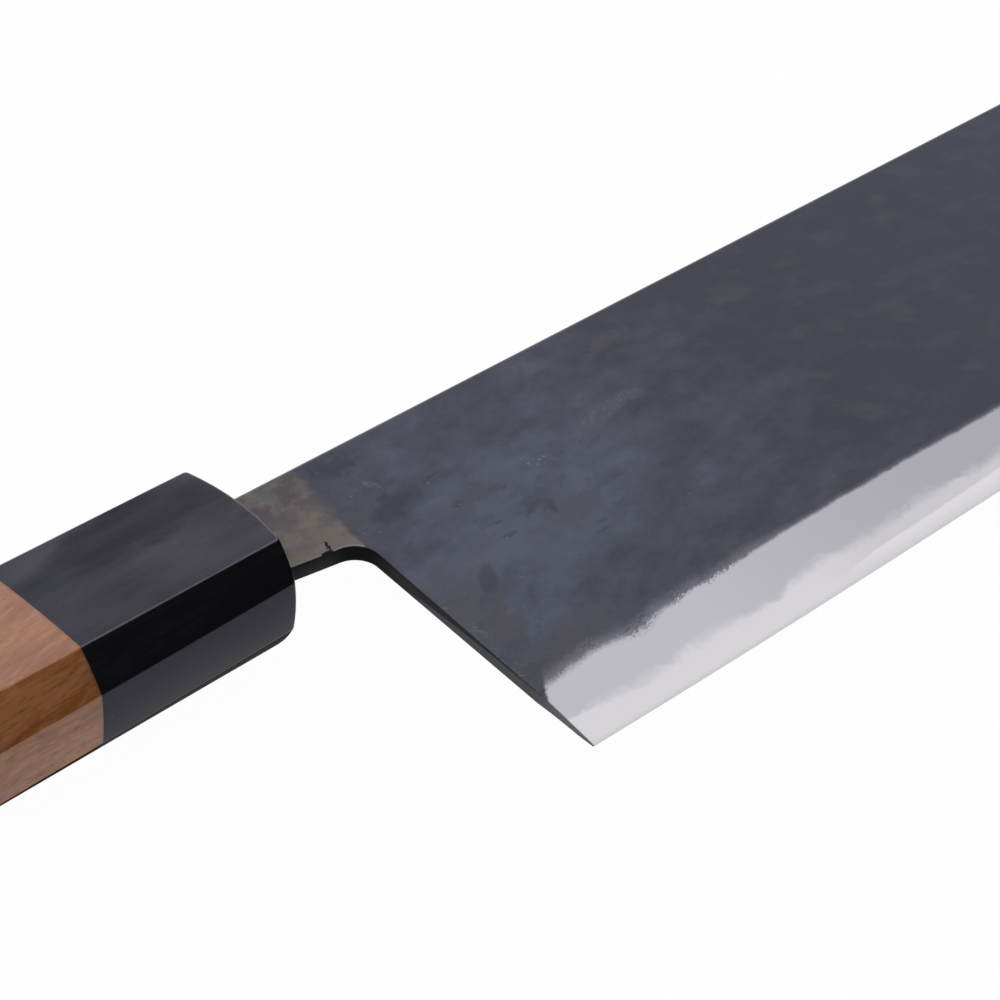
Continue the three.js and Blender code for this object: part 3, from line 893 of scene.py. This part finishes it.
def hornFinish():
    look = dict(
        smoke=(0.020, 0.016, 0.029, 1),
        blue=(0.007, 0.006, 0.015, 1),
        # a bluer dark for the sides: a painted reflection tint
        side=(0.013, 0.013, 0.042, 1),
        bevel=(0.0090, 0.0083, 0.0092, 1),
        fume=(0.026, 0.022, 0.022, 1),
        # pale hairs and dots; also the colour of the painted crease highlight
        scratch=(0.13, 0.125, 0.135, 1),
        roughness=0.26,
        gloss=0.3,
        coatRoughness=0.2,
        bevelRoughness=0.55,
        bevelGloss=0.0,
        darkBand=((-12.0, 4.2), 3, 13.0, 4.6),  # a smoky streak along the right face
    )
    material, nodes = newFinish("hornPolish")
    point = nodes.place()
    x, y, z = nodes.axes(point)
    outward = nodes.normal()
    upright = outward[2].size()
    onBevel = upright.smooth(0.25, 0.42) * (1 - upright.smooth(0.68, 0.85))
    onFace = upright.smooth(0.7, 0.9) * (1 - outward[0].smooth(0.15, 0.45))
    onSide = (1 - upright.smooth(0.15, 0.3)) * (1 - outward[0].smooth(0.3, 0.6))

    # slow smoky clouds along the horn, fine streaks, a few pale hairs and dots, and a painted highlight
    # along the creases
    clouds = nodes.cloud(point, (16, 4.5, 4.5), 3.0, 0.45, 6)
    streaks = nodes.cloud(point, (9, 0.5, 0.5), 4.0, 0.65)
    wisp = (nodes.cloud(point, (7, 2.2, 2.2), 3.0, 0.5) - 0.5) * 5.0
    band = stroke(x, y + wisp, *look["darkBand"]) * z.smooth(0, 4)
    tone = nodes.mix((clouds * 0.8 + streaks * 0.2).smooth(0.36, 0.64), look["blue"], look["smoke"])
    field = nodes.cloud(point, (6, 4, 4), 3.0).smooth(0.46, 0.60).most(band * 0.8)
    hair = nodes.cloud(point, (0.9, 0.14, 0.14), 2.0, 0.5, 9).smooth(0.65, 0.73) * field
    dots = nodes.specks(point, (3.0, 2.0, 2.0), 0.07, 0.3)
    # painted highlight: a thin pale line along the crease between each face and its bevel, in the scratch
    # colour
    crease = upright.smooth(0.72, 0.82) * (1 - upright.smooth(0.93, 0.985))
    crease = crease * streaks.smooth(0.25, 0.50)
    marks = ((hair * 0.4).most(dots * 0.5) * (1 - onBevel)).most(crease * 0.9)
    # painted reflection: the sides are tinted a bluer dark than the faces
    tone = nodes.mix(onSide * 0.7, tone, look["side"])
    tone = nodes.mix(marks, tone, look["scratch"])
    bump = nodes.add("ShaderNodeBump", {}, {
        "Strength": 0.04, "Distance": 0.00005, "Height": streaks * 0.6 + hair * 0.4,
    })
    shine = (0.25 + (clouds - 0.5) * 1.1 + (streaks - 0.5) * 0.16).most(0.0)
    shine = shine * (1 - band * 0.9) * (0.12 + onFace * 0.88)
    polished = nodes.add("ShaderNodeBsdfPrincipled", {}, {
        "Base Color": tone,
        "Roughness": look["roughness"] + (clouds - 0.5) * 0.08 + (streaks - 0.5) * 0.06,
        "Specular IOR Level": look["gloss"],
        "Coat Weight": shine,
        "Coat Roughness": look["coatRoughness"],
        "Normal": bump,
    })

    # the bevels are left a duller black with faint streaks, and the sides are half way
    fumes = (wisp * 0.08 + streaks * 0.5).smooth(0.2, 0.4) * clouds.smooth(0.42, 0.60)
    underneath = 1 - outward[2].smooth(-0.3, 0.0)
    dull = (onBevel * (1 - underneath * 0.1)).most(onSide * 0.24)
    dull = dull.most(onFace * (band * 0.24 + (0.5 - clouds) * 0.6))
    sanded = nodes.add("ShaderNodeBsdfPrincipled", {}, {
        "Base Color": nodes.mix(fumes * 0.35, look["bevel"], look["fume"]),
        "Roughness": look["bevelRoughness"],
        "Specular IOR Level": look["bevelGloss"],
    })
    nodes.surface(nodes.add("ShaderNodeMixShader", {}, {"Fac": dull, 1: polished, 2: sanded}))
    return material


def walnutFinish():
    look = dict(
        heart=colour("#ad6c3e"),
        pale=colour("#c28657"),
        dark=colour("#864d26"),
        # the dark brown of the wood's open grain, also used as painted shade on the sides and bevels
        poreAndShade=colour("#4c2a10"),
        glue=colour("#5a3216"),
        roughness=0.48,
        gloss=1.0,
        bevelGloss=0.0,
    )
    material, nodes = newFinish("walnutOiled")
    point = nodes.place()
    fromFerrule = nodes.axes(point)[0] + handle["ferruleLength"]
    # growth rings lie far to one side, so they cross the grip as slow, slightly slanting, wavy bands
    bend = nodes.cloud(point, (30, 5, 5), 4.0, 0.55, 2)
    rings = nodes.cloud(point, (34, 1.7, 2.4), 5.0, 0.62, 5)
    figure = nodes.cloud(point, (4.6, 0.9, 0.9), 4.0, 0.6, 17)
    grain = rings * 0.6 + bend * 0.2 + figure * 0.2
    tone = nodes.mix(grain.smooth(0.33, 0.60), look["dark"], look["heart"])
    tone = nodes.mix((bend * 0.45 + figure * 0.55).smooth(0.45, 0.60) * 0.7, tone, look["pale"])
    fibre = nodes.cloud(point, (6, 0.3, 0.3), 4.0, 0.65, 4)
    tone = nodes.mix(fibre.smooth(0.46, 0.70) * 0.5, tone, look["dark"])
    pores = nodes.cloud(point, (1.7, 0.17, 0.17), 2.0, 0.5, 3).smooth(0.61, 0.71)
    flecks = nodes.cloud(point, (4.0, 0.5, 0.5), 3.0, 0.55, 12).smooth(0.58, 0.70)
    fields = nodes.cloud(point, (11, 3, 3), 3.0).smooth(0.36, 0.56)
    pores = (pores * 0.75).most(flecks * 0.4) * fields
    tone = nodes.mix(pores * 0.8, tone, look["poreAndShade"])
    tone = nodes.mix(fromFerrule.smooth(-0.35, -0.02) * 0.5, tone, look["glue"])
    bump = nodes.add("ShaderNodeBump", {}, {
        "Strength": 0.25, "Distance": 0.00008, "Height": fibre * 0.3 - pores * 0.8,
    })
    outward = nodes.normal()
    upright = outward[2].size()
    underneath = 1 - outward[2].smooth(-0.3, 0.0)
    onFace = upright.smooth(0.75, 0.9)
    onSide = 1 - upright.smooth(0.15, 0.35)
    onBevel = upright.smooth(0.25, 0.42) * (1 - upright.smooth(0.68, 0.85))
    # painted sheen: the faces are lightened towards the pale colour
    tone = nodes.mix(onFace * 0.27, tone, look["pale"])
    # painted shade: the sides slightly and the bevels more, most of all those facing down, are darkened
    # towards that dark brown
    tone = nodes.mix((onSide * 0.1).most(onBevel * (0.26 + underneath * 0.5)), tone, look["poreAndShade"])
    oiled, dull = [
        nodes.add("ShaderNodeBsdfPrincipled", {}, {
            "Base Color": tone,
            "Roughness": look["roughness"] + pores * 0.2 + (fibre - 0.5) * 0.15,
            "Specular IOR Level": gloss,
            "Normal": bump,
        }) for gloss in (look["gloss"], look["bevelGloss"])
    ]
    nodes.surface(nodes.add("ShaderNodeMixShader", {}, {"Fac": onBevel, 1: oiled, 2: dull}))
    return material


def dowelFinish():
    look = dict(pale=colour("#d9c79d"), line=colour("#b89d68"), roughness=0.75)
    material, nodes = newFinish("magnoliaBare")
    point = nodes.place()
    fibre = nodes.cloud(point, (14, 0.3, 0.3), 4.0, 0.6)
    bands = nodes.cloud(point, (90, 1.6, 2.4), 2.0)
    tone = nodes.mix((fibre * 0.5 + bands * 0.5).smooth(0.4, 0.65), look["pale"], look["line"])
    nodes.surface(nodes.add("ShaderNodeBsdfPrincipled", {}, {
        "Base Color": tone, "Roughness": look["roughness"] + (fibre - 0.5) * 0.2,
    }))
    return material


def resinFinish(name, clear, cloudy, roughness):
    material, nodes = newFinish(name)
    point = nodes.place()
    swirl = nodes.cloud(point, (6, 2, 2), 4.0, 0.6)
    nodes.surface(nodes.add("ShaderNodeBsdfPrincipled", {}, {
        "Base Color": nodes.mix(swirl.smooth(0.35, 0.65), colour(clear), colour(cloudy)),
        "Roughness": roughness + (swirl - 0.5) * 0.2,
    }))
    return material


# Build the pieces

ease = blade["cornerEase"]
rowsTop = notchY - blade["rowsBelow"]
clear, bend, lip = blade["rowsClear"], blade["bendRows"], blade["lipRows"]
claddingRows = np.concatenate([
    np.linspace(rowsTop, shinogiY + clear, 10),
    [shinogiY + bend, shinogiY, shinogiY - bend],
    np.linspace(shinogiY - clear, laminationY, 6),
])
coreRows = np.concatenate([
    np.linspace(rowsTop, laminationY + clear, 10),
    [laminationY + lip, laminationY, laminationY - lip],
    edgeFloor + np.array(blade["coreRowHeights"]),
    [edgeFloor + blade["sharpeningHeight"]],
    edgeFloor + np.array(blade["keenRowHeights"]),
])
claddingSteel = bladeFinish("forgedCladding")
coreSteel = bladeFinish("forgedCore")

points, faces = slab(claddingRows, claddingTop, claddingBottom, ease, False)
addPiece("rightCladdingPlate", points, faces, "right_cladding", claddingSteel)
points, faces = slab(claddingRows, claddingTop, claddingBottom, ease, True)
addPiece("leftCladdingPlate", points, faces, "left_cladding", claddingSteel)
points, faces = slab(coreRows, coreTop, coreBottom, 0.0, False)
addPiece("coreSteelPlate", points, faces, "core_steel", coreSteel)
makeFerrule(hornFinish())
makeGrip(walnutFinish())

for node, material in (
    ("core_dowel", dowelFinish()),
    ("tang_bedding", resinFinish("beddingResin", "#b98b4a", "#a87838", 0.35)),
    ("mouth_seal", resinFinish("sealResin", "#1a1512", "#241d18", 0.4)),
):
    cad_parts[node].material_slots[0].material = material
print("inner pieces finished")


# Table, light and camera

studio = dict(
    floorSize=6.0,
    floorWhite=(0.78, 0.78, 0.78, 1),
    floorGlow=0.975,  # share of plain white that the camera and reflections see on the floor
    roomTint=(0.955, 0.965, 1.06, 1),
    dimTowards=(0.707, -0.707, 0.0),  # less light comes from here
    dimDepth=0.72,
    darkTowards=(0.519, -0.796, 0.247),  # and none from low down here
    darkDepth=0.97,
)


def seenRays(nodes):
    # what the camera sees straight, in a reflection or through glass
    camera, glossy, clear = [
        nodes.add("ShaderNodeLightPath", {}, {}, kind)
        for kind in ("Is Camera Ray", "Is Glossy Ray", "Is Transmission Ray")
    ]
    return camera.most(glossy).most(clear)


def makeFloor():
    half = studio["floorSize"] / 2
    corners = [(-half, -half, 0), (half, -half, 0), (half, half, 0), (-half, half, 0)]
    mesh = bpy.data.meshes.new("tableTop")
    mesh.from_pydata(corners, [], [(0, 1, 2, 3)])
    floor = bpy.data.objects.new("tableTop", mesh)
    bpy.context.scene.collection.objects.link(floor)
    material, nodes = newFinish("tableWhite")
    matt = nodes.add("ShaderNodeBsdfDiffuse", {}, {"Color": studio["floorWhite"]})
    glow = nodes.add("ShaderNodeEmission", {}, {"Color": (1, 1, 1, 1), "Strength": 1.0})
    nodes.surface(nodes.add("ShaderNodeMixShader", {}, {
        "Fac": seenRays(nodes) * studio["floorGlow"], 1: matt, 2: glow,
    }))
    mesh.materials.append(material)


def makeRoom():
    # light from all round, less of it from one side and none from low down there; what is seen is white
    world = bpy.data.worlds.new("whiteRoom")
    world.use_nodes = True
    bpy.context.scene.world = world
    nodes = Nodes(world.node_tree)
    towards = nodes.add("ShaderNodeTexCoord", {}, {}, "Generated")

    def facing(direction):
        sockets = {0: towards, 1: direction}
        return nodes.add("ShaderNodeVectorMath", {"operation": "DOT_PRODUCT"}, sockets, "Value")

    dim = facing(studio["dimTowards"]).smooth(0.0, 0.5) * studio["dimDepth"]
    dark = facing(studio["darkTowards"]).smooth(0.44, 0.82) * studio["darkDepth"]
    cameraRay = nodes.add("ShaderNodeLightPath", {}, {}, "Is Camera Ray")
    background = nodes.add("ShaderNodeBackground", {}, {
        "Color": nodes.mix(cameraRay, studio["roomTint"], (1, 1, 1, 1)),
        "Strength": ((1 - dim) * (1 - dark)).most(seenRays(nodes)),
    })
    nodes.add("ShaderNodeOutputWorld", {}, {"Surface": background})


view = dict(
    lens=119.2845,
    heading=46.4429,
    tilt=38.2523,
    roll=-4.2355,
    seat=(-0.205396, -0.199286, 0.243560),
)


def makeCamera():
    heading, tilt, roll = (math.radians(view[key]) for key in ("heading", "tilt", "roll"))
    level = Vector((math.sin(heading), math.cos(heading), 0))
    across = Vector((math.cos(heading), -math.sin(heading), 0))
    ahead = level * math.cos(tilt) - Vector((0, 0, 1)) * math.sin(tilt)
    down = -(level * math.sin(tilt) + Vector((0, 0, 1)) * math.cos(tilt))
    right = across * math.cos(roll) + down * math.sin(roll)
    up = -(down * math.cos(roll) - across * math.sin(roll))
    data = bpy.data.cameras.new("photoView")
    data.lens = view["lens"]
    data.sensor_width = 36.0
    data.clip_start = 0.01
    camera = bpy.data.objects.new("photoView", data)
    bpy.context.scene.collection.objects.link(camera)
    turned = Matrix((right, up, -ahead)).transposed().to_4x4()
    camera.matrix_world = Matrix.Translation(view["seat"]) @ turned
    bpy.context.scene.camera = camera


makeFloor()
makeRoom()
makeCamera()
bpy.context.scene.view_settings.view_transform = "Standard"
print("table, light and camera placed")
